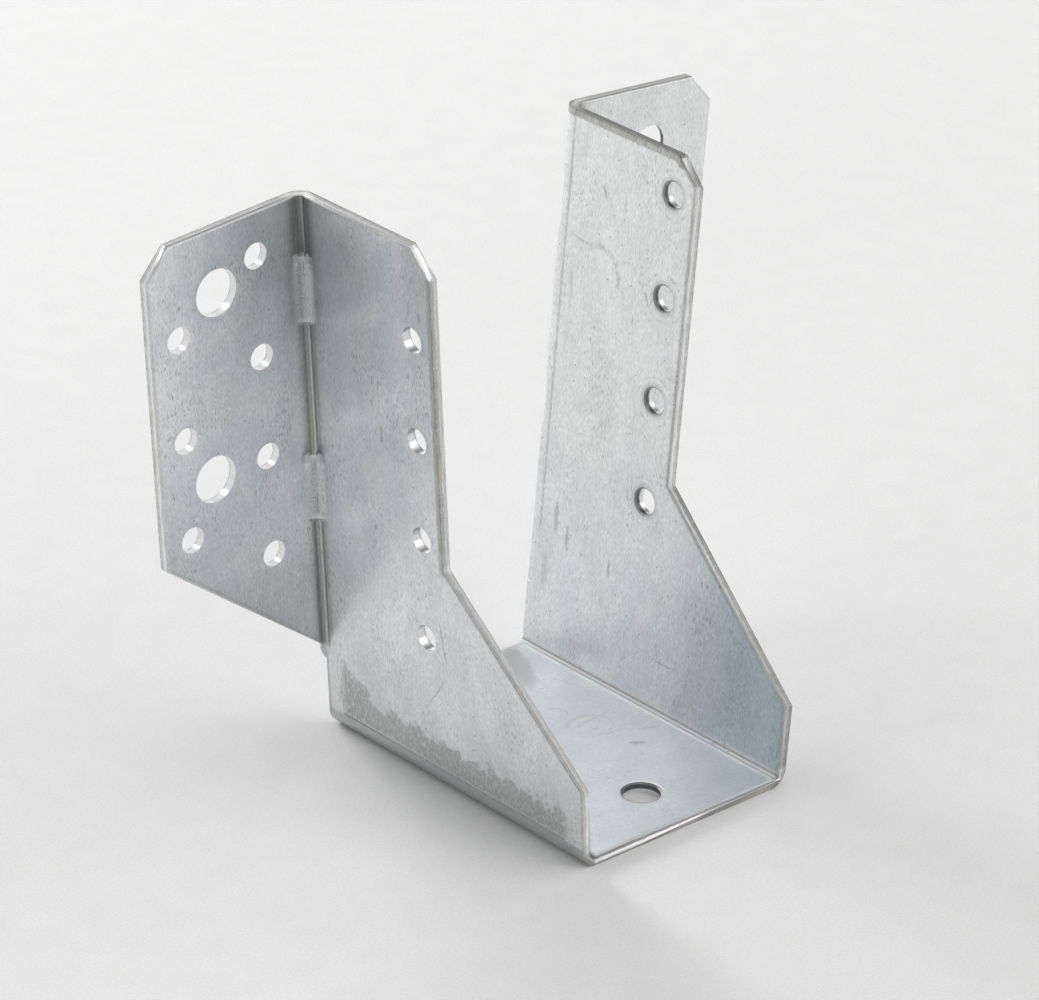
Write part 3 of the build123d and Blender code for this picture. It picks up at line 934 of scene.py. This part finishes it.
def punchedWall():
    material, tree, shader = startMaterial("punchedWall")
    at = layOut(tree)
    depth = put(tree, "ShaderNodeAttribute", attribute_name="cut").outputs["Fac"]
    streaks = noise(tree, at["place"], 0.5, detail=3, rough=0.7, shift=9)
    inSeat = byHeight(tree, at, -2, -1, 1, 0)
    unevenness = between(tree, streaks, 0.3, 0.7, -0.1, 0.1)
    level = calc(tree, "MULTIPLY_ADD", unevenness, unless(tree, inSeat), depth)
    early = most(tree, at["right"], inSeat)
    tearAt = calc(tree, "MULTIPLY_ADD", early, punched["tornRight"] - punched["torn"], punched["torn"])
    tearAt = calc(tree, "MULTIPLY_ADD", inSeat, -0.15, tearAt)
    torn = between(tree, calc(tree, "SUBTRACT", level, tearAt), -0.15, 0.2)
    colour = tinted(tree, torn, punched["bright"], tinted(tree, early, punched["grey"], punched["dark"]))
    unevenTone = between(tree, streaks, 0.35, 0.6, between(tree, inSeat, 0, 1, 0.9, 1.0), 1.02)
    colour = tinted(tree, 1.0, colour, grey(tree, unevenTone), "MULTIPLY")
    tree.links.new(colour, shader.inputs["Base Color"])
    shader.inputs["Metallic"].default_value = 1
    shader.inputs["Roughness"].default_value = punched["roughness"]
    return material


hangerSheet = makeSheet()
unfold(hangerSheet)
shadeSheet(hangerSheet)
for finish in (zincSkin(), shearedEdge(), punchedWall()):
    hangerSheet.data.materials.append(finish)
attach(hangerSheet, "root")
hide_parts(blank["node"])
print("finish on")

floorPlan = {
    "half": 4.0,
    "colour": (0.786, 0.784, 0.782),
    "grain": 0.5 * mm,
    "tooth": 0.055 * mm,
}


def makeFloor():
    bpy.ops.object.select_all(action="DESELECT")
    bpy.ops.mesh.primitive_plane_add(size=2 * floorPlan["half"], location=(0, 0, 0))
    floor = bpy.context.active_object
    floor.name = "paper_floor"
    material, tree, shader = startMaterial("paleFloor")
    shader.inputs["Roughness"].default_value = 0.7
    shader.inputs["Specular IOR Level"].default_value = 0.2
    place = put(tree, "ShaderNodeTexCoord").outputs["Object"]
    speckle = noise(tree, place, floorPlan["grain"], detail=2, rough=0.65)
    patches = noise(tree, place, 16 * floorPlan["grain"], detail=2, shift=4)
    tone = times(tree, between(tree, speckle, 0.3, 0.7, 0.96, 1.025),
                 between(tree, patches, 0.3, 0.7, 0.99, 1.01))
    colour = tinted(tree, 1.0, floorPlan["colour"], grey(tree, tone), "MULTIPLY")
    tree.links.new(colour, shader.inputs["Base Color"])
    bump = put(tree, "ShaderNodeBump", {"Strength": 0.5, "Distance": floorPlan["tooth"], "Height": speckle})
    tree.links.new(bump.outputs[0], shader.inputs["Normal"])
    floor.data.materials.append(material)


makeFloor()
print("floor laid")

# Three softboxes and soft panels of light stand round the object, over a pale backdrop on the horizon.
# Azimuth runs from +Y towards +X.
studio = {
    "ambient": 0.067,
    "backdrop": 0.86,
    "backdropTop": (3, 8),              # degrees over which it gives way to the panels
    "panelTightness": 12.0,
    "panels": {
        "rear": (5, 10, 4.25),
        "rearRight": (45, 10, 0.67),
        "right": (90, 10, 0.3),
        "frontHigh": (165, 38, 1.6),
        "leftHigh": (283, 36, 0.93),
        "rearLeft": (315, 10, 0.63),
        "overRight": (135, 64, 0.4),
        "frontRight": (130, 34, 1.15),
        "top": (0, 90, 0.9),
    },
    "boxDistance": 1.6,
    "boxSize": 0.45,
    "boxes": {
        "softbox_rear": (8, 20, 9.1),
        "softbox_left": (-30, 50, 2.3),
        "softbox_right": (97, 20, 2.9),
    },
}


def direction(azimuth, elevation):
    azimuth, elevation = math.radians(azimuth), math.radians(elevation)
    level = math.cos(elevation)
    return Vector((math.sin(azimuth) * level, math.cos(azimuth) * level, math.sin(elevation)))


def lightStudio():
    world = bpy.data.worlds.new("studio")
    bpy.context.scene.world = world
    world.use_nodes = True
    tree = world.node_tree
    backdrop = tree.nodes["Background"]
    place = put(tree, "ShaderNodeTexCoord").outputs["Generated"]
    toSky = onVectors(tree, "NORMALIZE", place)
    light, tightness = studio["ambient"], studio["panelTightness"]
    for azimuth, elevation, strength in studio["panels"].values():
        middle = tightness * direction(azimuth, elevation)
        facing = onVectors(tree, "DOT_PRODUCT", toSky, middle, result="Value")
        fall = calc(tree, "EXPONENT", facing)
        light = calc(tree, "MULTIPLY_ADD", fall, strength * math.exp(-tightness), light)
    low, high = [math.sin(math.radians(angle)) for angle in studio["backdropTop"]]
    overHead = between(tree, put(tree, "ShaderNodeSeparateXYZ", {0: toSky}).outputs[2], low, high)
    shown = put(tree, "ShaderNodeMix", {"Factor": overHead, 2: studio["backdrop"], 3: light})
    tree.links.new(shown.outputs[0], backdrop.inputs["Strength"])
    backdrop.inputs["Color"].default_value = (1, 1, 1, 1)
    for name, (azimuth, elevation, power) in studio["boxes"].items():
        away = direction(azimuth, elevation)
        bpy.ops.object.select_all(action="DESELECT")
        bpy.ops.object.light_add(type="AREA", location=away * studio["boxDistance"])
        softbox = bpy.context.active_object
        softbox.name = name
        softbox.rotation_euler = away.to_track_quat("Z", "Y").to_euler()
        softbox.data.size = studio["boxSize"]
        softbox.data.energy = power


lightStudio()
print("light set")

# The photograph is 1039 by 1000 pixels, and its lens is as long as the object's straight edges say
view = {
    "photoWidth": 1039,
    "focalPixels": 5955.0,
    "place": (-0.64692, -0.70346, 0.52497),
    "azimuth": math.radians(-42.182),
    "elevation": math.radians(26.365),
    "roll": math.radians(1.341),
    "sensor": 36.0,
}


def makeCamera():
    azimuth, elevation = view["azimuth"], view["elevation"]
    level = math.cos(elevation)
    back = Vector((math.sin(azimuth) * level, -math.cos(azimuth) * level, math.sin(elevation)))
    bpy.ops.object.select_all(action="DESELECT")
    bpy.ops.object.camera_add(location=view["place"])
    camera = bpy.context.active_object
    camera.rotation_mode = "QUATERNION"
    camera.rotation_quaternion = (-back).to_track_quat("-Z", "Y") @ Quaternion((0, 0, 1), view["roll"])
    camera.data.sensor_width = view["sensor"]
    camera.data.lens = view["focalPixels"] / view["photoWidth"] * view["sensor"]
    camera.data.clip_start = 0.01
    camera.data.clip_end = 50
    bpy.context.scene.camera = camera


makeCamera()
bpy.context.scene.view_settings.view_transform = "Standard"
print("camera set")
